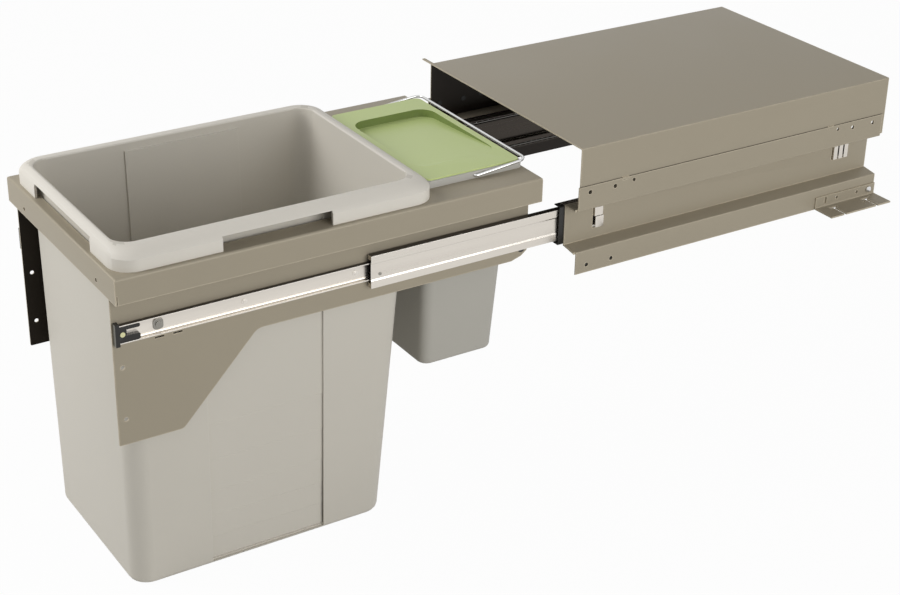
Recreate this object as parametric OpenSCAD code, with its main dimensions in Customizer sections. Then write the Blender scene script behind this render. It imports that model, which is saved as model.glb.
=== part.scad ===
/* [Housing] */
// Width of the unit over its side screw flanges
unit_w = 343; // [338:0.5:364]
// Depth of the cover from its front edge to its rear edge
housing_d = 492; // [488:1:540]
// Top face of the cover above the slides' centre line
cover_rise = 105.4; // [104:0.1:125]
// Thickness of the cover sheet
cover_t = 1.5; // [1:0.1:2]
// Thickness of the side profile sheet
profile_t = 1.5; // [1:0.1:2]
// Top edge of the upper screw flange above the slides' centre line
flange_rise = 56.4; // [55:0.1:62]
// Bottom edge of the lower screw flange below the slides' centre line
flange_drop = 58; // [57:0.1:66]
// Depth of the side recess, from the screw flange in to the web
web_inset = 23; // [20:0.1:26]
// Height of the side recess at the web
recess_h = 51; // [46:0.5:54]
// How far the lower ledge falls on its way out to the flange
ledge_fall = 3; // [0:0.5:5]
// How far the side profiles start in front of the cover
profile_lead = 6; // [0:0.5:9]
// How far the screw flanges are set back behind the web's front edge
flange_set = 3.5; // [0:0.5:5]
// How far the side profiles end short of the cover's rear edge
profile_short = 5; // [0:0.5:6]
// Inside radius of the sheet bends
bend_r = 1.2; // [0.5:0.1:2]

/* [Screw holes] */
// Diameter of the side screw holes
screw_hole_d = 5.2; // [4:0.1:6]
// Height from the lower row of side screw holes to the upper row
screw_rows = 96; // [92:0.5:102]
// From the cover's front edge to the first side screw hole
first_hole_in = 14; // [10:0.5:18]
// Distance between the two front side screw holes
front_pitch = 37; // [30:0.5:42]
// From the cover's rear edge to the last side screw hole
last_hole_in = 21.5; // [18:0.5:24]
// Distance between the two rear side screw holes
rear_pitch = 35; // [28:0.5:40]
// Diameter of the cover lock holes
lock_hole_d = 4.4; // [3:0.1:5]
// From the cover's front edge to the front lock hole
front_lock_in = 79; // [72:0.5:90]
// From the cover's rear edge to the rear lock hole
rear_lock_in = 82.5; // [74:0.5:90]

/* [Slides] */
// Width of the gap that one slide fills
slide_w = 13.2; // [12.8:0.1:15]
// Length of the fixed member
fixed_l = 500; // [480:1:505]
// Length of the middle member
middle_l = 494; // [474:1:500]
// Length of the drawer member
drawer_l = 500; // [480:1:520]
// Travel of the frame from closed to fully open
travel = 530; // [510:1:540]
// Height of the drawer member
drawer_h = 22; // [20:0.1:23]
// Height of one race band of the middle member
race_h = 5.6; // [4:0.1:6]
// Thickness of the fixed member
fixed_t = 1.4; // [1:0.1:1.6]
// Thickness of the middle member's web
middle_t = 1.4; // [1:0.1:1.6]
// Thickness of the drawer member
drawer_t = 1.2; // [1:0.1:1.5]
// Diameter of the balls
ball_d = 3.2; // [2.8:0.1:3.4]
// Distance from ball to ball along a cage
ball_pitch = 9; // [8:0.5:12]
// Thickness of the ball cages
cage_t = 0.8; // [0.6:0.1:1]
// Length of the outer cages
outer_cage_l = 180; // [150:1:200]
// Length of the inner cages
inner_cage_l = 150; // [120:1:170]

/* [Pull-out frame] */
// Length of the frame's top from front to rear
frame_l = 540; // [530:1:560]
// Top face of the frame above the slides' centre line
frame_rise = 74.5; // [72:0.1:76]
// Thickness of the frame's sheet
frame_t = 1.5; // [1:0.1:2]
// Height of the folded edge round the frame
edge_h = 31; // [26:0.5:34]
// Gap between the frame's edge and the cover's skirt
frame_gap = 11; // [9:0.1:12]
// Gap from the closed frame's rear edge to the cover's rear edge
closed_gap = 8; // [6:0.1:12]
// Thickness of the side plates
plate_t = 1.5; // [1:0.1:2]
// Bottom edge of the side plates' front part below the slides' centre line
plate_drop = 139; // [125:0.1:160]
// Length of the side plates' deep front part
plate_front_l = 77; // [66:1:84]
// Length from the frame's front to where the side plate is narrow
plate_slope_l = 172; // [150:1:190]
// Bottom edge of the side plates' narrow part below the slides' centre line
strip_drop = 38; // [35:0.1:44]
// Spacing of the panel holes in the side plates
panel_pitch = 64; // [60:0.5:68]
// Spacing of the holes in the frame's front edge
edge_hole_pitch = 212; // [196:1:224]
// Diameter of the panel holes
panel_hole_d = 5; // [4:0.1:6]

/* [Front bin] */
// Width of the front bin's body below its rim
bin_w = 262; // [250:1:264]
// Length of the front bin's body below its rim
bin_l = 366; // [356:1:370]
// Bottom of the front bin below the slides' centre line
bin_drop = 344.6; // [320:0.1:370]
// Width of the front bin's bottom
foot_w = 240; // [225:1:250]
// How far the bin's bottom is set back at the front
foot_front = 1; // [0.5:0.5:8]
// How far the bin's bottom is set in at the rear
foot_rear = 36; // [30:0.5:50]
// Wall thickness of the front bin
bin_wall = 2.5; // [2:0.1:3.5]
// Corner radius of the front bin
bin_corner_r = 24; // [18:1:30]
// Height of the front bin's rim
rim_h = 25; // [20:0.5:28]
// How far the rim stands out at the sides
rim_side = 21; // [18:0.5:23]
// How far the rim stands out at the front
rim_front = 9.5; // [9:0.5:13]
// How far the rim stands out at the rear
rim_rear = 18; // [14:0.5:19]
// Length of the side grips
side_grip_l = 134; // [110:1:150]
// Length of the front grip
front_grip_l = 162; // [140:1:180]

/* [Rear bin] */
// Width of the rear bin's body below its rim
small_w = 226; // [210:1:228]
// Length of the rear bin's body below its rim
small_l = 122; // [114:1:124]
// Bottom of the rear bin below the slides' centre line
small_drop = 178; // [150:1:220]
// Width of the rear bin's bottom
small_foot_w = 180; // [168:1:200]
// Length of the rear bin's bottom
small_foot_l = 104; // [92:1:108]
// Wall thickness of the rear bin
small_wall = 2; // [1.5:0.1:2.5]
// Height of the rear bin's rim
small_rim_h = 8.4; // [7.5:0.1:9]
// How far the rear bin's rim stands out
small_rim = 6; // [5:0.1:7]
// Thickness of the lid
lid_t = 2; // [1.5:0.1:2.5]
// Depth of the lid's tray at its deep end
tray_depth = 10; // [8:0.5:14]
// Diameter of the bail wire
wire_d = 3.4; // [2.6:0.1:3.6]
// Height of the bail's bar above its pivots, when it lies down
bail_rise = 7; // [5:0.5:9]

/* [Hidden] */
$fn = 32;

// Overrun of every cut past the faces it opens
cut = 1;
// Running gap between curved faces that pass each other
run_gap = 0.3;
// Side gap between a ball cage and the members beside it
cage_gap = 0.6;
// Gap round a ball in its cage
pocket_gap = 0.2;
// Fitting gap round screws and rivets
shank_gap = 0.15;
// Steps in one rounded bend
bend_steps = 4;

// Housing, seen from its planes
half_w = unit_w / 2;
skirt_x = half_w - profile_t;
web_x = half_w - web_inset;
plate_x = web_x - slide_w;
cover_front = -first_hole_in;
cover_rear = cover_front + housing_d;
profile_front = cover_front - profile_lead;
profile_rear = cover_rear - profile_short;
ledge_z = recess_h / 2;
skirt_bottom = ledge_z + profile_t + bend_r;
row_z = screw_rows / 2;
front_rows = [0, front_pitch];
rear_rows = [cover_rear - last_hole_in - rear_pitch, cover_rear - last_hole_in];
lock_drop = 6;
lock_z = flange_rise - lock_drop;
lock_rows = [cover_front + front_lock_in, cover_rear - rear_lock_in];
// Hook tabs of the cover that reach over the flange's top edge
hook_w = 10;
hook_h = 3;
hook_before = 12.5;
// Lug at the cover's left front corner
lug_l = 21;
lug_d = 4;

// Hook windows in the web and the fixed member's hooks
hook_t = 1.5;
hook_proud = 3;
hook_gap = 1;
front_hook_in = 50;
front_hook_l = 12;
front_hook_top = 15.4;
front_hook_mid = 3;
front_hook_low = -11.6;
hook_shift = 2.5;
rear_hook_in = 61;
rear_hook_l = 6.5;
rear_hook_step = 9;
rear_hook_count = 3;
rear_hook_top = 17.6;
rear_hook_low = -3;

// Slide section: distances out from the side plate
edge_gap = 1.5;
fixed_in = slide_w - fixed_t;
outer_cage_out = fixed_in - cage_gap;
outer_cage_in = outer_cage_out - cage_t;
middle_out = outer_cage_in - cage_gap;
middle_in = middle_out - middle_t;
inner_cage_out = middle_in - cage_gap;
inner_cage_in = inner_cage_out - cage_t;
drawer_reach = inner_cage_in - cage_gap;
inner_ball_u = (edge_gap + inner_cage_out) / 2;
outer_ball_u = (edge_gap + middle_out) / 2;
// Slide section: heights from the slides' centre line
inner_ball_z = drawer_h / 2 + run_gap + ball_d / 2;
race_in = inner_ball_z + ball_d / 2 + run_gap;
race_out = race_in + race_h;
outer_ball_z = race_out + run_gap + ball_d / 2;
fixed_half_in = outer_ball_z + ball_d / 2 + run_gap;
fixed_half = fixed_half_in + fixed_t;

// Places along the travel, with the frame fully open
frame_rear = cover_rear - closed_gap - travel;
frame_front = frame_rear - frame_l;
cap_t = 5;
cap_set = 3;
cap_front = frame_front + cap_set;
drawer_front = cap_front + cap_t;
drawer_rear = drawer_front + drawer_l;
fixed_lead = 7;
fixed_front = profile_front - fixed_lead;
fixed_rear = fixed_front + fixed_l;
front_hook_y = fixed_front + front_hook_in;
middle_rear = fixed_rear - travel / 2;
middle_front = middle_rear - middle_l;
outer_cage_mid = (fixed_front + middle_rear) / 2;
inner_cage_mid = (middle_front + drawer_rear) / 2;

// Side plate outline
plate_top = frame_rise - frame_t;
plate_front = frame_front + frame_t;
plate_short = 4;
plate_rear = frame_rear - plate_short;
plate_lip = 13;
plate_round = 8;
slope_round = 16;
tail_round = 5;
tail_l = 22;
tail_mid_l = 8;
tail_mid_drop = 33.6;
tail_drop = 27.3;
panel_hole_in = 10;
panel_hole_z = -43.2;
support_slot_l = 11;
support_slot_h = 2;
support_slot_z = -17;
support_slot_ins = [54.5, 76];
tab_in = 53;
buffer_in = 8.5;
buffer_z = -24;
buffer_d = 6;
buffer_head_d = 9;
buffer_head_t = 2;
rivet_d = 4;
rivet_head_d = 7;
rivet_head_t = 1.4;
rivet_flat_t = 0.5;
rivet_ins = [150, 290, 470];
// Frame top
edge_hole_drop = 22;
frame_round = 3;
fold_r = frame_round - frame_t;
corner_slot_w = 1;
corner_slot_h = 11;
bin_fit = 2;
small_fit = 2;
open_corner_r = bin_corner_r + bin_fit;
frame_half = half_w - profile_t - cover_t - frame_gap;

// Front bin places
rim_margin = 5.4;
bin_front = frame_front + rim_front + rim_margin;
bin_rear = bin_front + bin_l;
bin_top = frame_rise + rim_h;
rim_wall = 3;
rim_round = 12;
rim_shoulder = 11;
rim_step_share = 0.33;
rim_more_r = 4;
rim_corner_r = bin_corner_r + rim_more_r;
grip_h = 17;
side_grip_in = 180;
side_grip_mid = bin_front + side_grip_in;
bin_floor = 3;
panel_step = 2.6;
panel_over = 2;
panel_in = 98;
panel_l = 148;
panel_top = 14;
panel_lift = 0.6;
panel_foot_l = 6;

// Rear bin places
bin_to_bin = 28;
small_front = bin_rear + bin_to_bin;
small_rear = small_front + small_l;
small_mid = (small_front + small_rear) / 2;
small_corner_r = 14;
small_rim_top = frame_rise + small_rim_h;
small_rim_wall = 2.2;
small_half = small_w / 2;
lid_inset = 2.5;
lid_skirt_gap = 1;
lid_skirt_h = 6;
lid_top = small_rim_top + lid_t;
tray_half = 82;
tray_margin = 5;
tray_wall = 2;
tray_corner_r = 20;
// Bail
pivot_fit = 0.2;
pivot_shift = 1;
pivot_y = small_mid - pivot_shift;
pivot_z = frame_rise + small_rim_h / 2;
wire_gap = 1.2;
wire_x = small_half + small_rim + wire_gap + wire_d / 2;
bar_y = small_rear + small_rim + wire_gap + wire_d / 2;
bail_arm_l = norm([bar_y - pivot_y, bail_rise]);
bail_tilt = atan(bail_rise / (bar_y - pivot_y));
elbow_r = 2.6;
bail_corner_r = 10;
pivot_tip = 1.6;
pivot_in = small_half + small_rim - small_rim_wall - pivot_tip;

// Bracket
bracket_t = 2;
bracket_l = 104;
bracket_rear_gap = 5;
bracket_out = 34;
bracket_top = -40.6;
bracket_bottom = -57.3;
bracket_hole_d = 4.4;
bracket_hole_z = -47;
bracket_hole_ins = [37, 72];
bracket_slot_in = 17;
bracket_slot_w = 3.6;
bracket_slot_h = 10;
bracket_screw_in = 92;
bracket_screw_d = 4;
bracket_screw_head_d = 8;
bracket_screw_head_t = 2.6;
tee_ins = [24, 80];
tee_reach = 23;
tee_w = 3.6;
tee_head_l = 13;
tee_head_w = 3.4;
flat_hole_d = 3.6;
flat_holes = [[9.5, 89], [18.5, 71]];

// Colours
sheet_colour = [0.64, 0.6, 0.53];
zinc_colour = [0.82, 0.82, 0.82];
steel_colour = [0.7, 0.7, 0.72];
black_colour = [0.1, 0.1, 0.1];
bin_colour = [0.78, 0.76, 0.71];
small_colour = [0.62, 0.61, 0.59];
lid_colour = [0.69, 0.75, 0.53];
disc_colour = [0.82, 0.83, 0.55];

// Direction helpers
function unit(v) = v / norm(v);
function left_of(v) = [-v[1], v[0]];
function last(p) = len(p) - 1;

// Point i of an open path, moved to the left by d
function beside(p, i, d) =
    i == 0 ? p[0] + left_of(unit(p[1] - p[0])) * d
    : i == last(p) ? p[i] + left_of(unit(p[i] - p[i - 1])) * d
    : let (
        a = left_of(unit(p[i] - p[i - 1])),
        b = left_of(unit(p[i + 1] - p[i])),
        m = unit(a + b)
    ) p[i] + m * d / (m * a);

// Positive where the path turns left at b
function turn(a, b, c) = cross(b - a, c - b);

// Arc of radius r in place of the corner b
function corner(a, b, c, r) =
    r <= 0 ? [b]
    : let (
        u = unit(a - b),
        v = unit(c - b),
        half_angle = acos(u * v) / 2,
        centre = b + unit(u + v) * r / sin(half_angle),
        start = b + u * r / tan(half_angle) - centre,
        from = atan2(start[1], start[0]),
        way = sign(turn(a, b, c)) * (180 - 2 * half_angle)
    ) [for (i = [0:bend_steps])
        centre + r * [cos(from + way * i / bend_steps), sin(from + way * i / bend_steps)]];

// Closed outline with each corner rounded by its own radius
function rounded(p, r) = [
    for (i = [0:last(p)])
        each corner(p[(i + last(p)) % len(p)], p[i], p[(i + 1) % len(p)], r[i])
];

// One side of a bent sheet, with rounded bends
function sheet_side(p, t, r, off) = [
    for (i = [0:last(p)])
        each i == 0 || i == last(p) ? [beside(p, i, off)]
        : corner(
            beside(p, i - 1, off), beside(p, i, off), beside(p, i + 1, off),
            (turn(p[i - 1], p[i], p[i + 1]) > 0) == (off > 0) ? r : r + t
        )
];

// Outline of a sheet of thickness t that lies to the left of the path p
function sheet(p, t, r) =
    let (near = sheet_side(p, t, r, 0), far = sheet_side(p, t, r, t))
    concat(near, [for (i = [last(far):-1:0]) far[i]]);

module mirrored(right) {
    mirror([right ? 0 : 1, 0, 0]) children();
}

// Extrudes a drawing of [x, z] along y
module along_y(from, to) {
    translate([0, to, 0]) rotate([90, 0, 0]) linear_extrude(to - from) children();
}

// Extrudes a drawing of [y, z] along x
module along_x(from, to) {
    translate([from, 0, 0]) rotate([90, 0, 90]) linear_extrude(to - from) children();
}

// Round rod along x
module x_rod(d, from, to, y, z) {
    translate([from, y, z]) rotate([0, 90, 0]) cylinder(d = d, h = to - from);
}

// Box given by its lowest and highest corners
module block(low, high) {
    translate(low) cube(high - low);
}

// Rectangle with round corners, given by its lowest and highest corners
module round_rect(low, high, r) {
    translate([low[0] + r, low[1]]) square([high[0] - low[0] - 2 * r, high[1] - low[1]]);
    translate([low[0], low[1] + r]) square([high[0] - low[0], high[1] - low[1] - 2 * r]);
    for (x = [low[0] + r, high[0] - r])
        for (y = [low[1] + r, high[1] - r])
            translate([x, y]) circle(r);
}

// Thin level slab with round corners
module slab(low, high, r, z, t) {
    translate([0, 0, z]) linear_extrude(t) round_rect(low, high, r);
}

module cover() {
    top_z = cover_rise - cover_t;
    color(sheet_colour) {
        difference() {
            along_y(cover_front, cover_rear)
                polygon(sheet([
                    [-skirt_x, skirt_bottom], [-skirt_x, cover_rise],
                    [skirt_x, cover_rise], [skirt_x, skirt_bottom]
                ], -cover_t, bend_r));
            for (right = [true, false])
                mirrored(right) {
                    for (y = concat(front_rows, rear_rows))
                        x_rod(screw_hole_d, skirt_x - cover_t - cut, skirt_x + cut, y, row_z);
                    for (y = lock_rows)
                        x_rod(lock_hole_d, skirt_x - cover_t - cut, skirt_x + cut, y, lock_z);
                }
        }
        // hook tabs over the flanges' top edges
        for (right = [true, false])
            mirrored(right)
                for (y = lock_rows)
                    block(
                        [skirt_x - cover_t / 2, y - hook_before - hook_w / 2, flange_rise - hook_h + run_gap],
                        [skirt_x + profile_t, y - hook_before + hook_w / 2, flange_rise + run_gap]);
        // lug at the left front corner
        block([-skirt_x - lug_l, cover_front, top_z],
            [-skirt_x + cut + bend_r, cover_front + lug_d, cover_rise]);
    }
}

// Bent side profile of the right side
module side_profile() {
    rear_hooks_end = rear_hook_y(rear_hook_count - 1) + rear_hook_l;
    difference() {
        along_y(profile_front, profile_rear)
            polygon(sheet([
                [half_w, flange_rise], [half_w, ledge_z], [web_x + profile_t, ledge_z],
                [web_x + profile_t, -ledge_z], [half_w, -ledge_z - ledge_fall], [half_w, -flange_drop]
            ], -profile_t, bend_r));
        for (y = concat(front_rows, rear_rows))
            x_rod(screw_hole_d, skirt_x - cut, half_w + cut, y, row_z);
        for (y = front_rows)
            x_rod(screw_hole_d, skirt_x - cut, half_w + cut, y, -row_z);
        for (y = lock_rows)
            x_rod(lock_hole_d, skirt_x - cut, half_w + cut, y, lock_z);
        // notches for the cover's hook tabs
        for (y = lock_rows)
            block([skirt_x - cut, y - hook_before - hook_w / 2 - run_gap, flange_rise - hook_h],
                [half_w + cut, y - hook_before + hook_w / 2 + run_gap, flange_rise + cut]);
        // the screw flanges start behind the web's front edge
        block([skirt_x, profile_front - cut, -flange_drop - cut],
            [half_w + cut, profile_front + flange_set, flange_rise + cut]);
        // windows for the fixed member's hooks
        block([web_x - cut, front_hook_y - hook_gap, front_hook_mid],
            [web_x + profile_t + cut, front_hook_y + front_hook_l + hook_shift, front_hook_top + hook_gap]);
        block([web_x - cut, front_hook_y - hook_gap, front_hook_low - hook_gap],
            [web_x + profile_t + cut, front_hook_y + front_hook_l + hook_shift, front_hook_mid + hook_gap]);
        block([web_x - cut, rear_hook_y(0) - hook_gap, rear_hook_low - hook_gap],
            [web_x + profile_t + cut, rear_hooks_end + hook_gap, rear_hook_top + hook_gap]);
        // holes that the rear bracket shares
        for (y = bracket_hole_rows())
            x_rod(bracket_hole_d, skirt_x - cut, half_w + cut, y, bracket_hole_z);
        x_rod(bracket_screw_d + 2 * shank_gap, skirt_x - cut, half_w + cut,
            bracket_screw_y(), bracket_hole_z);
    }
}

function rear_hook_y(i) = fixed_rear - rear_hook_in + i * rear_hook_step;
function bracket_front() = cover_rear - bracket_rear_gap - bracket_l;
function bracket_hole_rows() = [for (in = bracket_hole_ins) bracket_front() + in];
function bracket_screw_y() = bracket_front() + bracket_screw_in;

module right_side_profile() {
    color(sheet_colour) side_profile();
}

module left_side_profile() {
    color(sheet_colour) mirrored(false) side_profile();
}

// One hook: a neck through the web and a finger along it
module hook(y, length, low, high, back) {
    neck_y = back ? y + length - hook_t : y;
    block([web_x - fixed_t / 2, neck_y, low], [web_x + profile_t + hook_proud, neck_y + hook_t, high]);
    block([web_x + profile_t + hook_proud - hook_t, y, low],
        [web_x + profile_t + hook_proud, y + length, high]);
}

// Fixed member of the right slide, with the hooks that hold it in the web
module fixed_member() {
    translate([plate_x, 0, 0])
        along_y(fixed_front, fixed_rear)
            polygon(sheet([
                [edge_gap, -fixed_half], [slide_w, -fixed_half], [slide_w, fixed_half], [edge_gap, fixed_half]
            ], fixed_t, fixed_t / 2));
    hook(front_hook_y, front_hook_l, front_hook_mid + hook_gap, front_hook_top, false);
    hook(front_hook_y + hook_shift - hook_gap, front_hook_l, front_hook_low, front_hook_mid, true);
    for (i = [0:rear_hook_count - 1])
        hook(rear_hook_y(i), rear_hook_l, rear_hook_low, rear_hook_top, false);
}

module right_fixed_member() {
    color(zinc_colour) fixed_member();
}

module left_fixed_member() {
    color(zinc_colour) mirrored(false) fixed_member();
}

// Angle plate on the lower screw flange, with slots that open at its outer edge
module rear_bracket() {
    front = bracket_front();
    rear = front + bracket_l;
    out = half_w + bracket_out;
    difference() {
        along_y(front, rear)
            polygon(sheet([
                [half_w, bracket_top], [half_w, bracket_bottom], [out, bracket_bottom]
            ], bracket_t, bend_r));
        for (y = bracket_hole_rows())
            x_rod(bracket_hole_d, half_w - cut, half_w + bracket_t + cut, y, bracket_hole_z);
        x_rod(bracket_screw_d + 2 * shank_gap, half_w - cut, half_w + bracket_t + cut,
            bracket_screw_y(), bracket_hole_z);
        along_x(half_w - cut, half_w + bracket_t + cut)
            round_rect(
                [front + bracket_slot_in - bracket_slot_w / 2, bracket_hole_z - bracket_slot_h / 2],
                [front + bracket_slot_in + bracket_slot_w / 2, bracket_hole_z + bracket_slot_h / 2],
                bracket_slot_w / 2 - run_gap);
        for (in = tee_ins) {
            block([out - tee_reach, front + in - tee_w / 2, bracket_bottom - cut],
                [out + cut, front + in + tee_w / 2, bracket_bottom + bracket_t + cut]);
            translate([out - tee_reach, front + in, bracket_bottom])
                block([-tee_head_w / 2, -tee_head_l / 2, -cut],
                    [tee_head_w / 2, tee_head_l / 2, bracket_t + cut]);
        }
        for (place = flat_holes)
            translate([half_w + place[0], front + place[1], bracket_bottom - cut])
                cylinder(d = flat_hole_d, h = bracket_t + 2 * cut);
    }
}

module right_rear_bracket() {
    color(sheet_colour) rear_bracket();
}

module left_rear_bracket() {
    color(sheet_colour) mirrored(false) rear_bracket();
}

module bracket_screws() {
    y = bracket_screw_y();
    head = half_w + bracket_t;
    color(zinc_colour)
        for (right = [true, false])
            mirrored(right) {
                x_rod(bracket_screw_d, skirt_x - bracket_screw_head_t, head + cut, y, bracket_hole_z);
                x_rod(bracket_screw_head_d, head, head + bracket_screw_head_t, y, bracket_hole_z);
                x_rod(bracket_screw_head_d, skirt_x - bracket_screw_head_t, skirt_x, y, bracket_hole_z);
            }
}

// Middle member of the right slide: a web between two race bands
module middle_member() {
    translate([plate_x, 0, 0])
        along_y(middle_front, middle_rear) {
            translate([middle_in, -race_out]) square([middle_t, 2 * race_out]);
            for (low = [race_in, -race_out])
                translate([edge_gap, low]) square([middle_out - edge_gap, race_h]);
        }
}

module right_middle_member() {
    color(zinc_colour) middle_member();
}

module left_middle_member() {
    color(zinc_colour) mirrored(false) middle_member();
}

// Places of the balls along a cage of length l, from its middle
function ball_rows(l) =
    let (count = floor((l - 2 * ball_d) / ball_pitch))
    [for (i = [0:count]) (i - count / 2) * ball_pitch];

// Channel-shaped ball cage with a pocket for each ball
module cage(inner, outer, ball_u, ball_z, mid, length) {
    translate([plate_x, mid, 0])
        difference() {
            union() {
                block([inner, -length / 2, -ball_z - cage_t / 2], [outer, length / 2, ball_z + cage_t / 2]);
                for (z = [-ball_z, ball_z])
                    block([edge_gap, -length / 2, z - cage_t / 2], [outer, length / 2, z + cage_t / 2]);
            }
            for (y = ball_rows(length))
                for (z = [-ball_z, ball_z])
                    translate([ball_u, y, z - cage_t])
                        cylinder(d = ball_d + 2 * pocket_gap, h = 2 * cage_t);
        }
}

module balls(ball_u, ball_z, mid, length) {
    for (y = ball_rows(length))
        for (z = [-ball_z, ball_z])
            translate([plate_x + ball_u, mid + y, z]) sphere(d = ball_d);
}

module outer_cage() {
    cage(outer_cage_in, outer_cage_out, outer_ball_u, outer_ball_z, outer_cage_mid, outer_cage_l);
}

module inner_cage() {
    cage(inner_cage_in, inner_cage_out, inner_ball_u, inner_ball_z, inner_cage_mid, inner_cage_l);
}

module right_outer_cage() {
    color(steel_colour) outer_cage();
}

module left_outer_cage() {
    color(steel_colour) mirrored(false) outer_cage();
}

module right_inner_cage() {
    color(steel_colour) inner_cage();
}

module left_inner_cage() {
    color(steel_colour) mirrored(false) inner_cage();
}

module right_outer_balls() {
    color(steel_colour) balls(outer_ball_u, outer_ball_z, outer_cage_mid, outer_cage_l);
}

module left_outer_balls() {
    color(steel_colour) mirrored(false) balls(outer_ball_u, outer_ball_z, outer_cage_mid, outer_cage_l);
}

module right_inner_balls() {
    color(steel_colour) balls(inner_ball_u, inner_ball_z, inner_cage_mid, inner_cage_l);
}

module left_inner_balls() {
    color(steel_colour) mirrored(false) balls(inner_ball_u, inner_ball_z, inner_cage_mid, inner_cage_l);
}

// Block whose upper edges are rounded on all four sides
module folded_block(half, front, rear, bottom, top, r) {
    intersection() {
        along_y(front, rear)
            polygon(rounded([[-half, bottom], [half, bottom], [half, top], [-half, top]], [0, 0, r, r]));
        along_x(-half, half)
            polygon(rounded([[front, bottom], [rear, bottom], [rear, top], [front, top]], [0, 0, r, r]));
    }
}

module frame_top() {
    bottom = frame_rise - edge_h;
    color(sheet_colour)
        difference() {
            folded_block(frame_half, frame_front, frame_rear, bottom, frame_rise, frame_round);
            folded_block(frame_half - frame_t, frame_front + frame_t, frame_rear - frame_t,
                bottom - cut, frame_rise - frame_t, fold_r);
            // openings for the two bins
            slab([-bin_w / 2 - bin_fit, bin_front - bin_fit], [bin_w / 2 + bin_fit, bin_rear + bin_fit],
                open_corner_r, frame_rise - frame_t - cut, frame_t + 2 * cut);
            slab([-small_half - small_fit, small_front - small_fit],
                [small_half + small_fit, small_rear + small_fit],
                small_corner_r + small_fit, frame_rise - frame_t - cut, frame_t + 2 * cut);
            // holes in the front edge
            for (x = [-edge_hole_pitch / 2, edge_hole_pitch / 2])
                translate([x, frame_front - cut, frame_rise - edge_hole_drop])
                    rotate([-90, 0, 0]) cylinder(d = panel_hole_d, h = frame_t + 2 * cut);
            // open seams at the lower ends of the front corners
            for (right = [true, false])
                mirrored(right)
                    block([frame_half - frame_t - cut, frame_front + frame_t, bottom - cut],
                        [frame_half + cut, frame_front + frame_t + corner_slot_w, bottom + corner_slot_h]);
        }
}

// Side plate of the right side, seen as [y, z]
function plate_outline() = rounded([
    [plate_front, plate_top],
    [plate_front, -plate_drop],
    [plate_front + plate_front_l, -plate_drop],
    [plate_front + plate_slope_l, -strip_drop],
    [plate_rear - tail_l, -strip_drop],
    [plate_rear - tail_mid_l, -tail_mid_drop],
    [plate_rear, -tail_drop],
    [plate_rear, plate_top]
], [fold_r, frame_t, plate_round, slope_round, tail_round, tail_round, 0, 0]);

module side_plate() {
    inner = plate_x - plate_t;
    difference() {
        union() {
            along_x(inner, plate_x) polygon(plate_outline());
            block([inner, plate_front + fold_r, plate_top - plate_t],
                [plate_x + plate_lip, plate_rear, plate_top]);
        }
        for (z = [panel_hole_z, panel_hole_z - panel_pitch])
            x_rod(panel_hole_d, inner - cut, plate_x + cut, plate_front + panel_hole_in, z);
        for (in = support_slot_ins)
            block([inner - cut, plate_front + in - support_slot_l / 2, support_slot_z - support_slot_h / 2],
                [plate_x + cut, plate_front + in + support_slot_l / 2, support_slot_z + support_slot_h / 2]);
        for (in = rivet_ins)
            x_rod(rivet_d + 2 * shank_gap, inner - cut, plate_x + cut, drawer_front + in, 0);
        x_rod(rivet_d + 2 * shank_gap, inner - cut, plate_x + cut, plate_front + tab_in, 0);
        x_rod(buffer_d + 2 * shank_gap, inner - cut, plate_x + cut, plate_rear - buffer_in, buffer_z);
    }
}

module right_side_plate() {
    color(sheet_colour) side_plate();
}

module left_side_plate() {
    color(sheet_colour) mirrored(false) side_plate();
}

// Drawer member of the right slide, screwed to the side plate
module drawer_member() {
    half = drawer_h / 2;
    difference() {
        translate([plate_x, 0, 0])
            along_y(drawer_front, drawer_rear)
                polygon(sheet([
                    [drawer_reach, half], [0, half], [0, -half], [drawer_reach, -half]
                ], drawer_t, drawer_t / 2));
        for (in = rivet_ins)
            x_rod(rivet_d + 2 * shank_gap, plate_x - cut, plate_x + drawer_t + cut, drawer_front + in, 0);
        x_rod(rivet_d + 2 * shank_gap, plate_x - cut, plate_x + drawer_t + cut, plate_front + tab_in, 0);
    }
}

module right_drawer_member() {
    color(zinc_colour) drawer_member();
}

module left_drawer_member() {
    color(zinc_colour) mirrored(false) drawer_member();
}

// End cap: front plate, plug in the member's channel and two prongs
cap_plate_over = 2.4;
cap_out = 1.2;
cap_plug_l = 8.4;
cap_prong_l = 15.6;
cap_prong_h = 4.5;
cap_low_prong_h = 7.5;
cap_prong_round = 2;
cap_fit = 0.2;
disc_d = 6;
disc_t = 2;
disc_in = 3.6;
disc_proud = 0.4;

// One prong of the cap, from its low to its high side, rounded at its free end
module cap_prong(low, high) {
    end = drawer_front + cap_plug_l + cap_prong_l;
    along_x(drawer_t + cap_fit, drawer_reach)
        polygon(rounded([[drawer_front, low], [end, low], [end, high], [drawer_front, high]],
            [0, cap_prong_round, cap_prong_round, 0]));
}

module end_cap() {
    half = drawer_h / 2;
    inside = half - drawer_t - cap_fit;
    difference() {
        translate([plate_x, 0, 0]) {
            block([0, cap_front, -half - cap_plate_over],
                [drawer_reach + cap_out, drawer_front, half + cap_plate_over]);
            block([drawer_t + cap_fit, drawer_front, -inside],
                [drawer_reach, drawer_front + cap_plug_l, inside]);
            cap_prong(inside - cap_prong_h, inside);
            cap_prong(-inside, -inside + cap_low_prong_h);
        }
        x_rod(disc_d + 2 * shank_gap, plate_x + drawer_reach - disc_t, plate_x + drawer_reach + cut,
            drawer_front + disc_in, 0);
    }
}

module right_end_cap() {
    color(black_colour) end_cap();
}

module left_end_cap() {
    color(black_colour) mirrored(false) end_cap();
}

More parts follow.
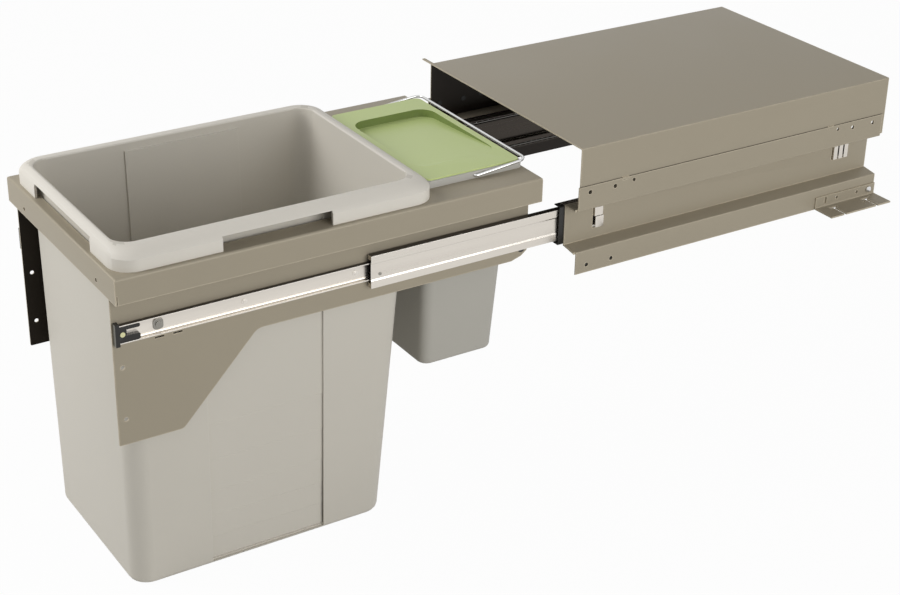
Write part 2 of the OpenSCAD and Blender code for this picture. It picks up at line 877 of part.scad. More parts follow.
module adjuster_discs() {
    face = plate_x + drawer_reach;
    color(disc_colour)
        for (right = [true, false])
            mirrored(right)
                x_rod(disc_d, face - disc_t, face + disc_proud, drawer_front + disc_in, 0);
}

// Arched tab with a screw that ties the drawer member to the side plate
rail_tab_w = 12;
rail_tab_h = 13;
rail_tab_r = 4;
rail_tab_t = 1;

module rail_tabs() {
    y = plate_front + tab_in;
    base = plate_x + drawer_t;
    color(steel_colour)
        for (right = [true, false])
            mirrored(right) {
                along_x(base, base + rail_tab_t)
                    translate([y, 0])
                        round_rect([-rail_tab_w / 2, -rail_tab_h / 2],
                            [rail_tab_w / 2, rail_tab_h / 2], rail_tab_r);
                x_rod(rivet_d, plate_x - plate_t - rivet_head_t, base + rail_tab_t, y, 0);
                x_rod(rivet_head_d, plate_x - plate_t - rivet_head_t, plate_x - plate_t, y, 0);
                x_rod(rivet_head_d, base, base + rail_tab_t + rivet_head_t, y, 0);
            }
}

module rail_rivets() {
    base = plate_x + drawer_t;
    inner = plate_x - plate_t;
    color(steel_colour)
        for (right = [true, false])
            mirrored(right)
                for (in = rivet_ins) {
                    x_rod(rivet_d, inner - rivet_head_t, base + cut, drawer_front + in, 0);
                    x_rod(rivet_head_d, inner - rivet_head_t, inner, drawer_front + in, 0);
                    x_rod(rivet_head_d, base, base + rivet_flat_t, drawer_front + in, 0);
                }
}

module rear_buffers() {
    y = plate_rear - buffer_in;
    color(black_colour)
        for (right = [true, false])
            mirrored(right) {
                x_rod(buffer_d, plate_x - plate_t - buffer_head_t, plate_x + cut, y, buffer_z);
                x_rod(buffer_head_d, plate_x, plate_x + buffer_head_t / 2, y, buffer_z);
                x_rod(buffer_head_d, plate_x - plate_t - buffer_head_t, plate_x - plate_t, y, buffer_z);
            }
}

// Thickness of the slices that a tub is spanned between
tub_slice = 0.25;

// Tapered tub between its level at the top and its level at the foot, made smaller all round by inset
module tub(half_top, front_top, rear_top, top, half_foot, front_foot, rear_foot, foot, r, inset) {
    hull() {
        slab([-half_top + inset, front_top + inset], [half_top - inset, rear_top - inset],
            r - inset, top - tub_slice, tub_slice);
        slab([-half_foot + inset, front_foot + inset], [half_foot - inset, rear_foot - inset],
            r - inset, foot, tub_slice);
    }
}

// Front end of the set-back panel: the two sides are turned half round the bin's middle
function panel_y(right) = right ? bin_front + panel_in : bin_rear - panel_in - panel_l;

// Slabs along both sloping sides of the front bin, from u_low to u_high out of its wall
module side_panels(u_low, u_high, more, top, slope) {
    for (right = [true, false])
        mirrored(right)
            translate([bin_w / 2, panel_y(right), frame_rise])
                rotate([0, slope, 0])
                    block([u_low, -more, -bin_drop - frame_rise - bin_corner_r],
                        [u_high, panel_l + more, top]);
}

module front_bin() {
    foot_y = [bin_front + foot_front, bin_rear - foot_rear];
    rim_low = [-bin_w / 2 - rim_side, bin_front - rim_front];
    rim_high = [bin_w / 2 + rim_side, bin_rear + rim_rear];
    rim_in = [rim_wall, rim_wall];
    round_in = [rim_round, rim_round];
    part_in = rim_step_share * round_in;
    slope = atan((bin_w - foot_w) / 2 / (bin_top + bin_drop));
    color(bin_colour)
        difference() {
            union() {
                // body
                tub(bin_w / 2, bin_front, bin_rear, bin_top - rim_wall,
                    foot_w / 2, foot_y[0], foot_y[1], -bin_drop, bin_corner_r, 0);
                // rim with a rounded shoulder
                hull() {
                    slab(rim_low, rim_high, rim_corner_r, frame_rise, rim_h - rim_shoulder);
                    slab(rim_low + part_in, rim_high - part_in,
                        rim_corner_r, frame_rise, rim_h - rim_step_share * rim_shoulder);
                    slab(rim_low + round_in, rim_high - round_in,
                        rim_corner_r - rim_round / 2, frame_rise, rim_h);
                }
            }
            // hollow under the rim, round the body
            difference() {
                slab(rim_low + rim_in, rim_high - rim_in, rim_corner_r - rim_wall,
                    frame_rise - cut, rim_h - rim_wall + cut - rim_step_share * rim_round);
                tub(bin_w / 2, bin_front, bin_rear, bin_top,
                    foot_w / 2, foot_y[0], foot_y[1], -bin_drop, bin_corner_r, 0);
            }
            // inside of the body, narrower behind the set-back panels
            difference() {
                tub(bin_w / 2, bin_front, bin_rear, bin_top + cut,
                    foot_w / 2, foot_y[0], foot_y[1], -bin_drop + bin_floor, bin_corner_r, bin_wall);
                side_panels(-panel_step - bin_wall, bin_wall, bin_wall, panel_top + bin_wall, slope);
            }
            // grips
            for (right = [true, false])
                mirrored(right)
                    translate([rim_high[0], side_grip_mid, frame_rise])
                        block([-rim_wall - cut, -side_grip_l / 2, -cut], [cut, side_grip_l / 2, grip_h]);
            block([-front_grip_l / 2, rim_low[1] - cut, frame_rise - cut],
                [front_grip_l / 2, rim_low[1] + rim_wall + cut, frame_rise + grip_h]);
            // set-back panels in the long sides
            side_panels(-panel_step, panel_over, 0, panel_top, slope);
            // raised foot under the panels
            for (right = [true, false])
                mirrored(right)
                    translate([0, panel_y(right), -bin_drop])
                        block([foot_w / 2 - panel_foot_l, -panel_over, -cut],
                            [bin_w / 2, panel_l + panel_over, panel_lift]);
        }
}

module rear_bin() {
    rim_low = [-small_half - small_rim, small_front - small_rim];
    rim_high = [small_half + small_rim, small_rear + small_rim];
    wall_in = [small_rim_wall, small_rim_wall];
    foot_half = small_foot_w / 2;
    foot_front_y = small_mid - small_foot_l / 2;
    foot_rear_y = small_mid + small_foot_l / 2;
    color(small_colour)
        difference() {
            union() {
                tub(small_half, small_front, small_rear, small_rim_top,
                    foot_half, foot_front_y, foot_rear_y, -small_drop, small_corner_r, 0);
                slab(rim_low, rim_high, small_corner_r / 2, frame_rise, small_rim_h);
            }
            // hollow under the rim
            difference() {
                slab(rim_low + wall_in, rim_high - wall_in, small_corner_r / 2 - small_rim_wall,
                    frame_rise - cut, small_rim_h - small_rim_wall + cut);
                tub(small_half, small_front, small_rear, small_rim_top,
                    foot_half, foot_front_y, foot_rear_y, -small_drop, small_corner_r, 0);
            }
            tub(small_half, small_front, small_rear, small_rim_top + cut,
                foot_half, foot_front_y, foot_rear_y, -small_drop + small_wall, small_corner_r, small_wall);
            // pivot holes of the bail
            for (right = [true, false])
                mirrored(right)
                    x_rod(wire_d + 2 * pivot_fit, rim_high[0] - small_rim_wall - cut, rim_high[0] + cut,
                        pivot_y, pivot_z);
        }
}

// Sloping tray of the lid, deep at the left and running out at the right, grown all round by more
module tray(more) {
    front = small_front + tray_margin - more;
    rear = small_rear - tray_margin + more;
    half = tray_half + more;
    low = lid_top - tray_depth - more;
    intersection() {
        along_y(front, rear)
            polygon([[-half, lid_top], [-half, low], [-half + tray_depth / 2, low], [half, lid_top]]);
        slab([-half, front], [half, rear], tray_corner_r + more, low - cut, tray_depth + more + cut);
    }
}

module lid() {
    edge = small_rim - lid_inset;
    low = [-small_half - edge, small_front - edge];
    high = [small_half + edge, small_rear + edge];
    skirt = small_wall + lid_skirt_gap;
    skirt_r = small_corner_r - skirt;
    color(lid_colour)
        difference() {
            union() {
                slab(low, high, small_corner_r / 2, small_rim_top, lid_t);
                slab([-small_half + skirt, small_front + skirt], [small_half - skirt, small_rear - skirt],
                    skirt_r, small_rim_top - lid_skirt_h, lid_skirt_h);
                tray(tray_wall);
            }
            // hollow inside the skirt, round the tray
            difference() {
                slab([-small_half + skirt + small_wall, small_front + skirt + small_wall],
                    [small_half - skirt - small_wall, small_rear - skirt - small_wall],
                    skirt_r - small_wall, small_rim_top - tray_depth - tray_wall, tray_depth + tray_wall);
                tray(tray_wall);
            }
            // the tray itself
            tray(0);
        }
}

// Quarter bend of the wire in the level plane, from the +x side of its centre to the +y side
module wire_bend(r) {
    rotate_extrude(angle = 90) translate([r, 0]) circle(d = wire_d);
}

// Wire bail: pivots, arms and bar, lying down behind its pivots
module bail() {
    color(steel_colour)
        translate([0, pivot_y, pivot_z])
            rotate([bail_tilt, 0, 0])
                union() {
                    for (right = [true, false])
                        mirrored(right) {
                            x_rod(wire_d, pivot_in, wire_x - elbow_r, 0, 0);
                            translate([wire_x - elbow_r, elbow_r, 0]) rotate([0, 0, -90]) wire_bend(elbow_r);
                            translate([wire_x, elbow_r, 0])
                                rotate([-90, 0, 0])
                                    cylinder(d = wire_d, h = bail_arm_l - elbow_r - bail_corner_r);
                            translate([wire_x - bail_corner_r, bail_arm_l - bail_corner_r, 0])
                                wire_bend(bail_corner_r);
                        }
                    x_rod(wire_d, -wire_x + bail_corner_r, wire_x - bail_corner_r, bail_arm_l, 0);
                }
}

cover();
right_side_profile();
left_side_profile();
right_fixed_member();
left_fixed_member();
right_rear_bracket();
left_rear_bracket();
bracket_screws();
right_middle_member();
left_middle_member();
right_outer_cage();
left_outer_cage();
right_inner_cage();
left_inner_cage();
right_outer_balls();
left_outer_balls();
right_inner_balls();
left_inner_balls();
frame_top();
right_side_plate();
left_side_plate();
right_drawer_member();
left_drawer_member();
right_end_cap();
left_end_cap();
adjuster_discs();
rail_tabs();
rail_rivets();
rear_buffers();
front_bin();
rear_bin();
lid();
bail();
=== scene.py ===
import math
from collections import namedtuple

import bmesh
import bpy
from mathutils import Matrix, Vector


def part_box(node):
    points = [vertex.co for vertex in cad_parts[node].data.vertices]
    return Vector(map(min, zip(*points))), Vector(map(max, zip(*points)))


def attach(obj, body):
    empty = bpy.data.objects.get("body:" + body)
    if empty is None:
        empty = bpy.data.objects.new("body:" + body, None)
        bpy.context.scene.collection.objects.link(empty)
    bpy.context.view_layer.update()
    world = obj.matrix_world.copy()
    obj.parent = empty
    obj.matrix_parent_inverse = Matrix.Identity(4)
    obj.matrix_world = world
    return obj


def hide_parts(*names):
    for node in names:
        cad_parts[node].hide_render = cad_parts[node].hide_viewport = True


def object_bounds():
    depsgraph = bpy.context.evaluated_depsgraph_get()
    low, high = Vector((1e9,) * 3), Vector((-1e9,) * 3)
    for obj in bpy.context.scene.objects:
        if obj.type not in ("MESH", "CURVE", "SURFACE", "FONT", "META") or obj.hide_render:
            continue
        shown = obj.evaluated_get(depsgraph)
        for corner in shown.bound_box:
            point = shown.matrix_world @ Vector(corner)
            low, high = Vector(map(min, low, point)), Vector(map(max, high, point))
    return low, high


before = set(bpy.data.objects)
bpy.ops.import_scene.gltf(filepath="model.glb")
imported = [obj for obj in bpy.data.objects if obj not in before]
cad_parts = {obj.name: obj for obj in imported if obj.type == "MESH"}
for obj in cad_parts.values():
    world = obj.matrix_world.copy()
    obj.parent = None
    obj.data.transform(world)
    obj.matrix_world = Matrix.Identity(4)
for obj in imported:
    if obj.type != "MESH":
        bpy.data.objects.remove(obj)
cad_low, cad_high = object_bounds()
MM = 0.001

# Photograph's camera: where it stands, how it is turned and its lens
CAMERA_PLACE = Vector((1.78048, -1.22748, 0.92832))
CAMERA_AZIMUTH = 57.332
CAMERA_ELEVATION = 26.932
CAMERA_ROLL = 1.1166
FOCAL_PIXELS = 1844.57
PHOTO_WIDTH = 900
SENSOR = 36


def camera_place():
    """The camera object, turned by azimuth, elevation and roll."""
    azimuth = math.radians(CAMERA_AZIMUTH)
    elevation = math.radians(CAMERA_ELEVATION)
    roll = math.radians(CAMERA_ROLL)
    ahead = Vector((
        -math.sin(azimuth) * math.cos(elevation),
        math.cos(azimuth) * math.cos(elevation),
        -math.sin(elevation),
    ))
    level = Vector((math.cos(azimuth), math.sin(azimuth), 0))
    upright = level.cross(ahead)
    right = math.cos(roll) * level + math.sin(roll) * upright
    up = math.cos(roll) * upright - math.sin(roll) * level
    turn = Matrix((right, up, -ahead)).transposed().to_4x4()
    camera = bpy.data.objects.new("camera", bpy.data.cameras.new("camera"))
    camera.data.sensor_width = SENSOR
    camera.data.lens = FOCAL_PIXELS * SENSOR / PHOTO_WIDTH
    camera.matrix_world = Matrix.Translation(CAMERA_PLACE) @ turn
    bpy.context.scene.collection.objects.link(camera)
    bpy.context.scene.camera = camera


# Node helpers
def place(tree, kind, inputs=None, **settings):
    """A node with its settings and its input values."""
    made = tree.nodes.new(kind)
    for key, value in settings.items():
        setattr(made, key, value)
    for key, value in (inputs or {}).items():
        made.inputs[key].default_value = value
    return made


def linear(red, green, blue):
    """Scene colour of a screen colour given from 0 to 255."""
    parts = [c / 255 for c in (red, green, blue)]
    return [c / 12.92 if c <= 0.04045 else ((c + 0.055) / 1.055) ** 2.4 for c in parts] + [1]


def scaled(colour, factor):
    """The colour made lighter or darker by a factor, held at white."""
    return [min(c * factor, 1) for c in colour[:3]] + [1]


def socket(group, name, output=False, kind="NodeSocketFloat"):
    """Adds an input or output to a node group."""
    group.interface.new_socket(name=name, in_out="OUTPUT" if output else "INPUT", socket_type=kind)


def grain_group():
    """Fine height and broad tone of a surface; stretch draws the grain out along the y axis."""
    group = bpy.data.node_groups.new("surface_grain", "ShaderNodeTree")
    socket(group, "Fine scale")
    socket(group, "Broad scale")
    socket(group, "Stretch", kind="NodeSocketVector")
    socket(group, "Height", True)
    socket(group, "Tone", True)
    given = place(group, "NodeGroupInput")
    result = place(group, "NodeGroupOutput")
    where = place(group, "ShaderNodeTexCoord")
    drawn = place(group, "ShaderNodeVectorMath", operation="MULTIPLY")
    fine = place(group, "ShaderNodeTexNoise", {"Detail": 2, "Roughness": 0.6})
    broad = place(group, "ShaderNodeTexNoise", {"Detail": 3, "Roughness": 0.5})
    link = group.links.new
    link(where.outputs["Object"], drawn.inputs[0])
    link(given.outputs["Stretch"], drawn.inputs[1])
    link(drawn.outputs[0], fine.inputs["Vector"])
    link(drawn.outputs[0], broad.inputs["Vector"])
    link(given.outputs["Fine scale"], fine.inputs["Scale"])
    link(given.outputs["Broad scale"], broad.inputs["Scale"])
    link(fine.outputs["Fac"], result.inputs["Height"])
    link(broad.outputs["Fac"], result.inputs["Tone"])
    return group


EDGE_RADIUS = 2.2 * MM
EDGE_SAMPLES = 4
EDGE_FLAT = 0.992
EDGE_SHARP = 0.84
PATCH_SCALE = 60
# Edges and bends are lightened by this factor: partly wear, partly painted highlight where bends
# catch the light
WEAR_AND_HIGHLIGHT_LIGHTER = 1.9
BUMP_DEPTH = 0.1 * MM


def edge_group():
    """Mask of the outer edges and bends, where a coat is thin and worn by hands, and where bends
    catch the light: it lightens them as wear and as painted highlight.
    """
    group = bpy.data.node_groups.new("edge_wear_and_painted_highlight", "ShaderNodeTree")
    socket(group, "Amount")
    socket(group, "Mask", True)
    given = place(group, "NodeGroupInput")
    result = place(group, "NodeGroupOutput")
    shape = place(group, "ShaderNodeNewGeometry")
    softened = place(group, "ShaderNodeBevel", {"Radius": EDGE_RADIUS}, samples=EDGE_SAMPLES)
    same = place(group, "ShaderNodeVectorMath", operation="DOT_PRODUCT")
    near = place(group, "ShaderNodeMapRange", {"From Min": EDGE_FLAT, "From Max": EDGE_SHARP})
    where = place(group, "ShaderNodeTexCoord")
    patches = place(group, "ShaderNodeTexNoise", {"Scale": PATCH_SCALE, "Detail": 3})
    uneven = place(group, "ShaderNodeMapRange", {"From Min": 0.3, "From Max": 0.6, "To Min": 0.55})
    broken = place(group, "ShaderNodeMath", operation="MULTIPLY")
    amount = place(group, "ShaderNodeMath", operation="MULTIPLY")
    link = group.links.new
    link(softened.outputs[0], same.inputs[0])
    link(shape.outputs["Normal"], same.inputs[1])
    link(same.outputs["Value"], near.inputs["Value"])
    link(where.outputs["Object"], patches.inputs["Vector"])
    link(patches.outputs["Fac"], uneven.inputs["Value"])
    link(near.outputs[0], broken.inputs[0])
    link(uneven.outputs[0], broken.inputs[1])
    link(broken.outputs[0], amount.inputs[0])
    link(given.outputs["Amount"], amount.inputs[1])
    link(amount.outputs[0], result.inputs["Mask"])
    return group


GRAIN = grain_group()
EDGE = edge_group()

Surface = namedtuple("Surface", "fine broad stretch bump spread rough_low rough_high rub")


def surfaced(name, colour, surface, metallic=0.0, specular=0.5):
    """A material with grain, tone, and edge wear with painted highlight, from the two shared
    groups.
    """
    material = bpy.data.materials.new(name)
    material.use_nodes = True
    tree = material.node_tree
    shader = tree.nodes["Principled BSDF"]
    shader.inputs["Metallic"].default_value = metallic
    shader.inputs["Specular IOR Level"].default_value = specular
    grain = place(tree, "ShaderNodeGroup", node_tree=GRAIN)
    grain.inputs["Fine scale"].default_value = surface.fine
    grain.inputs["Broad scale"].default_value = surface.broad
    grain.inputs["Stretch"].default_value = surface.stretch
    edge = place(tree, "ShaderNodeGroup", node_tree=EDGE)
    edge.inputs["Amount"].default_value = surface.rub
    tone = place(tree, "ShaderNodeMix", data_type="RGBA")
    tone.inputs[6].default_value = scaled(colour, 1 - surface.spread)
    tone.inputs[7].default_value = scaled(colour, 1 + surface.spread)
    edge_lightened = place(tree, "ShaderNodeMix", data_type="RGBA")
    edge_lightened.inputs[7].default_value = scaled(colour, WEAR_AND_HIGHLIGHT_LIGHTER)
    rough = place(tree, "ShaderNodeMapRange")
    rough.inputs["To Min"].default_value = surface.rough_low
    rough.inputs["To Max"].default_value = surface.rough_high
    bump = place(tree, "ShaderNodeBump", {"Strength": surface.bump, "Distance": BUMP_DEPTH})
    link = tree.links.new
    link(grain.outputs["Tone"], tone.inputs[0])
    link(tone.outputs[2], edge_lightened.inputs[6])
    link(edge.outputs["Mask"], edge_lightened.inputs[0])
    link(edge_lightened.outputs[2], shader.inputs["Base Color"])
    link(grain.outputs["Tone"], rough.inputs["Value"])
    link(rough.outputs[0], shader.inputs["Roughness"])
    link(grain.outputs["Height"], bump.inputs["Height"])
    link(bump.outputs[0], shader.inputs["Normal"])
    return material


# Kinds of surface: grain scales, grain direction, bump, tone spread, roughness range, edge wear and
# painted highlight
EVEN = (1, 1, 1)
ROLLED = (1, 0.03, 1)
PAINT = Surface(1500, 9, EVEN, 0.12, 0.03, 0.34, 0.46, 0.85)
RAW = Surface(900, 14, EVEN, 0.2, 0.12, 0.4, 0.55, 0.15)
PLATE = Surface(900, 60, ROLLED, 0.25, 0.08, 0.2, 0.36, 0.2)
MOULD = Surface(1300, 7, EVEN, 0.35, 0.025, 0.46, 0.6, 0.12)
GLOSS = Surface(700, 12, EVEN, 0.1, 0.03, 0.28, 0.4, 0.15)
POLISH = Surface(400, 40, EVEN, 0.03, 0.03, 0.08, 0.16, 0.0)

sheet_paint = surfaced(
    "champagne_paint", linear(163, 154, 136), PAINT, metallic=0.08, specular=0.15,
)
# Painted shade: the housing's inner faces drawn dark, as they lie in shade
inner_painted_shade = surfaced("housing_inner_painted_shade", linear(50, 44, 38), RAW, metallic=0.1, specular=0.2)
# Painted shade: the side plates' inner faces drawn dark, as they lie in shade
plate_painted_shade = surfaced("side_plate_inner_painted_shade", linear(40, 35, 29), RAW, metallic=0.1, specular=0.1)
# Painted shade: a darker green for the walls of the lid's sunken tray
lid_tray_painted_shade = surfaced("lid_tray_painted_shade", linear(120, 136, 78), GLOSS, specular=0.2)
# Painted light: a lighter tone of the bin plastic for the large bin's rim and panel ledges,
# standing for light from above
bin_painted_light = surfaced("bin_painted_light", linear(222, 217, 207), MOULD, specular=0.35)
# Dark slide faces: the ball tracks drawn dark, and the members' top faces painted shade
dark_track_and_painted_shade = surfaced("dark_track_and_painted_shade", linear(66, 60, 54), PLATE, metallic=0.7)
zinc_plate = surfaced("zinc_plate", linear(210, 204, 195), PLATE, metallic=1.0)
tab_steel = surfaced("tab_steel", linear(140, 137, 130), PLATE, metallic=0.6)
rolled_strip = surfaced("rolled_strip", linear(120, 118, 114), PLATE, metallic=1.0)
bright_steel = surfaced("bright_steel", linear(214, 214, 214), POLISH, metallic=1.0)
black_plastic = surfaced("black_plastic", linear(34, 33, 31), GLOSS, specular=0.35)
# Painted reflection: the end caps' front faces a lighter tone where the moulding catches the light
cap_front_painted_reflection = surfaced("cap_front_painted_reflection", linear(84, 81, 70), GLOSS, specular=0.4)
buffer_rubber = surfaced("buffer_rubber", linear(45, 44, 43), MOULD)
disc_plastic = surfaced("disc_plastic", linear(226, 224, 172), GLOSS)
bin_plastic = surfaced("bin_plastic", linear(206, 201, 190), MOULD, specular=0.35)
grey_plastic = surfaced("grey_plastic", linear(184, 181, 172), MOULD, specular=0.3)
rim_plastic = surfaced("rim_plastic", linear(182, 180, 173), MOULD, specular=0.4)
lid_plastic = surfaced("lid_plastic", linear(196, 211, 142), GLOSS, specular=0.3)


# Mesh helpers
ALONG_X = Vector((1, 0, 0))
ALONG_Y = Vector((0, 1, 0))
ALONG_Z = Vector((0, 0, 1))
NEAR = 0.01 * MM
MERGE = 0.002 * MM
CUT_NEAR = 0.001 * MM
LEAST_CORNER = 0.5 * MM
ROUND_STEPS = 4
CORNER_STEPS = 8
FLAT_ANGLE = math.radians(0.3)
SHARP_ANGLE = 35

# Widths of softened edges
SHEET_EDGE = 0.25 * MM
THIN_EDGE = 0.1 * MM
RIVET_EDGE = 0.15 * MM
BIN_EDGE = 0.35 * MM
MOULDED_EDGE = 0.4 * MM
LID_EDGE = 0.5 * MM
ROLLED_EDGE = 0.62 * MM


def finished(
    bm, name, body, materials, nodes=(), bevel=0.0, smooth=SHARP_ANGLE, segments=2,
):
    """Makes the object of a mesh, shades it, softens its edges and puts it on its body."""
    mesh = bpy.data.meshes.new(name)
    bm.to_mesh(mesh)
    bm.free()
    for material in materials:
        mesh.materials.append(material)
    for face in mesh.polygons:
        face.use_smooth = True
    mesh.set_sharp_from_angle(angle=math.radians(smooth))
    piece = bpy.data.objects.new(name, mesh)
    bpy.context.scene.collection.objects.link(piece)
    if bevel:
        soft = piece.modifiers.new("edges", "BEVEL")
        soft.width = bevel
        soft.segments = segments
        soft.limit_method = "ANGLE"
        soft.angle_limit = math.radians(smooth)
        soft.harden_normals = True
    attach(piece, body)
    if nodes:
        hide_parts(*nodes)


def merged(node):
    """Mesh of a CAD node, with its vertices merged and its flat faces joined."""
    bm = bmesh.new()
    bm.from_mesh(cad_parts[node].data)
    bmesh.ops.remove_doubles(bm, verts=bm.verts, dist=MERGE)
    bmesh.ops.dissolve_limit(
        bm, angle_limit=FLAT_ANGLE, use_dissolve_boundaries=False,
        verts=bm.verts, edges=bm.edges, delimit=set(),
    )
    return bm


def copied(node, body, material, bevel=SHEET_EDGE, others=(), cut_y=None):
    """Copy of a CAD node with softened edges; others are pairs of a material and a face test."""
    bm = merged(node)
    if cut_y is not None:
        split_across(bm, bm.faces, ALONG_Y * cut_y, ALONG_Y)
    for face in bm.faces:
        fitting = [i + 1 for i, (_, test) in enumerate(others) if test(face)]
        face.material_index = fitting[0] if fitting else 0
    finishes = [material] + [other for other, _ in others]
    finished(bm, "shown_" + node, body, finishes, [node], bevel)


def both(node):
    """Names of the right and the left node."""
    return ["right_" + node, "left_" + node]


# Outline with rounded corners, centred on x: half width, front, rear, corner radius and height
Ring = namedtuple("Ring", "half front rear corner z")


def grown(ring, more, z, corner_more=None):
    """The ring grown all round, at another height."""
    corner = ring.corner + (more if corner_more is None else corner_more)
    return Ring(ring.half + more, ring.front - more, ring.rear + more, max(corner, LEAST_CORNER), z)


def first_ring(bm, ring):
    """A flat face with rounded corners, from one square whose corners are bevelled."""
    bmesh.ops.create_grid(bm, x_segments=1, y_segments=1, size=1)
    length = ring.rear - ring.front
    for vert in bm.verts:
        vert.co = (
            vert.co.x * ring.half,
            (ring.front + ring.rear) / 2 + vert.co.y * length / 2,
            ring.z,
        )
    bmesh.ops.bevel(
        bm, geom=list(bm.verts), offset=ring.corner, offset_type="OFFSET", segments=CORNER_STEPS,
        profile=0.5, affect="VERTICES", material=-1,
    )
    return list(bm.edges)


def next_ring(bm, edges, old, new):
    """Extrudes the last ring and fits it to the next one, corner by corner."""
    made = bmesh.ops.extrude_edge_only(bm, edges=edges)["geom"]
    verts = {part for part in made if isinstance(part, bmesh.types.BMVert)}
    old_middle = (old.front + old.rear) / 2
    for vert in verts:
        side = 1 if vert.co.x > 0 else -1
        back = vert.co.y > old_middle
        from_x = side * (old.half - old.corner)
        from_y = old.rear - old.corner if back else old.front + old.corner
        to_x = side * (new.half - new.corner)
        to_y = new.rear - new.corner if back else new.front + new.corner
        ratio = new.corner / old.corner
        vert.co = (to_x + (vert.co.x - from_x) * ratio, to_y + (vert.co.y - from_y) * ratio, new.z)
    return [
        part for part in made
        if isinstance(part, bmesh.types.BMEdge) and all(v in verts for v in part.verts)
    ]


def lofted(rings):
    """A closed mesh through the rings, from the face of the first to the face of the last."""
    bm = bmesh.new()
    edges = first_ring(bm, rings[0])
    for old, new in zip(rings, rings[1:]):
        edges = next_ring(bm, edges, old, new)
    bmesh.ops.contextual_create(bm, geom=edges)
    bmesh.ops.recalc_face_normals(bm, faces=bm.faces)
    return bm


def split_across(bm, faces, place_at, normal):
    """Cuts an edge line across the given faces."""
    geom = set(faces)
    for face in faces:
        geom.update(face.edges)
        geom.update(face.verts)
    bmesh.ops.bisect_plane(
        bm, geom=list(geom), dist=CUT_NEAR, plane_co=place_at, plane_no=normal,
    )


# Bins
FRONT_LOW, FRONT_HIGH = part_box("front_bin")
SMALL_LOW, SMALL_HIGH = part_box("rear_bin")
FRAME_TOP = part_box("frame_top")[1].z

RIM_SIDE = 21 * MM
RIM_FRONT = 9.5 * MM
RIM_REAR = 18 * MM
RIM_WALL = 3 * MM
BIN_WALL = 2.5 * MM
BIN_CORNER = 24 * MM
RIM_CORNER = 28 * MM
FOOT_IN = 11 * MM
FOOT_FRONT_IN = 1 * MM
FOOT_REAR_IN = 36 * MM
FOOT_ROUND = 7 * MM
MOUTH_ROUND = 2 * MM
SHOULDER_IN = 15 * MM
SHOULDER_FRONT_IN = 8.5 * MM
SHOULDER_H = 11 * MM
SHOULDER_FLAT = 0.45
SHOULDER_REAR_ROOM = 2 * MM
SHOULDER_FRONT_THIN = 0.9
SHOULDER_SIDE_THIN = 0.1
SHOULDER_CORNER_IN = 4 * MM
SHOULDER_STEPS = 6
TURN_HALVINGS = 40
SKIRT_ZONE = RIM_WALL + 1.6 * MM
GRIP_H = 17 * MM
SIDE_GRIP_REACH = 150 * MM
FRONT_GRIP_REACH = 120 * MM
SIDE_GRIP_IN = 180 * MM
SIDE_GRIP_L = 134 * MM
FRONT_GRIP_L = 162 * MM
PANEL_IN = 98 * MM
PANEL_L = 148 * MM
PANEL_STEP = 2.6 * MM
PANEL_TOP = FRAME_TOP + 14 * MM
PANEL_ZONE_TOP = FRAME_TOP + 22 * MM
PANEL_ZONE_IN = BIN_WALL + 1 * MM
PANEL_NEAR = 0.1 * MM
PANEL_FACING = 0.9
LEVELS = [-153 * MM, -201 * MM, -244 * MM, -278 * MM, -308 * MM]
LEVEL_STEP = 0.35 * MM
LEVEL_SLOPE = 0.6 * MM
BIN_FLOOR = 3 * MM
BIN_SHARP_ANGLE = 28


def between(top, foot, share, z):
    """Ring of a tapered wall, from its top ring to its foot ring by share."""
    return Ring(*(a + (b - a) * share for a, b in zip(top[:4], foot[:4])), z)


def wall_ring(top, foot, z, inset=0.0):
    """Ring of a tapered wall at a height, inset by some width."""
    ring = between(top, foot, (top.z - z) / (top.z - foot.z), z)
    return grown(ring, -inset, z)


def quarter_turns(count):
    """Even turns from nothing to a quarter."""
    return [i * math.pi / 2 / count for i in range(count + 1)]


def foot_rings(top, foot, rounding, lift=0.0, wall=0.0):
    """Rings round the bend between a bin's foot and its wall, from the foot up."""
    rings = []
    for turn in quarter_turns(ROUND_STEPS):
        z = foot.z + lift + rounding * (1 - math.cos(turn))
        rings.append(wall_ring(top, foot, z, wall + rounding * (1 - math.sin(turn))))
    return rings


def mouth_rings(top, foot, rim_z, wall, mouth, floor, foot_round):
    """Rings over the lip and down inside a bin to its floor."""
    lip = wall_ring(top, foot, rim_z, wall)
    rings = []
    for turn in quarter_turns(ROUND_STEPS):
        drop = mouth * (1 - math.cos(turn))
        rings.append(grown(lip, mouth * (1 - math.sin(turn)), rim_z - drop))
    return rings + foot_rings(top, foot, foot_round, floor, wall)[::-1]


def slope_share(turn, wall):
    """How far in and how far up the shoulder a turn is; it is flatter outside than inside."""
    flat = 0 if wall else SHOULDER_FLAT
    even = flat * turn / (math.pi / 2)
    return (1 - flat) * (1 - math.cos(turn)) + even, (1 - flat) * math.sin(turn) + even


def turn_at(height_share, wall):
    """Turn at which the shoulder reaches a share of its height."""
    low, high = 0, math.pi / 2
    for _ in range(TURN_HALVINGS):
        middle = (low + high) / 2
        if slope_share(middle, wall)[1] < height_share:
            low = middle
        else:
            high = middle
    return low


def shoulder_ring(rim, turn, wall):
    """Ring of the large bin's sloping shoulder; wall is 0 outside and its thickness inside."""
    share, rise = slope_share(turn, wall)
    room = SHOULDER_REAR_ROOM if wall else 0
    front_in = wall + (SHOULDER_FRONT_IN - SHOULDER_FRONT_THIN * wall) * share
    side_in = wall + (SHOULDER_IN - SHOULDER_SIDE_THIN * wall) * share
    rear_in = wall + (SHOULDER_IN - wall + room) * share
    z = rim.z - SHOULDER_H + (SHOULDER_H - wall) * rise
    corner = RIM_CORNER - wall - SHOULDER_CORNER_IN * share
    return Ring(rim.half - side_in, rim.front + front_in, rim.rear - rear_in, corner, z)


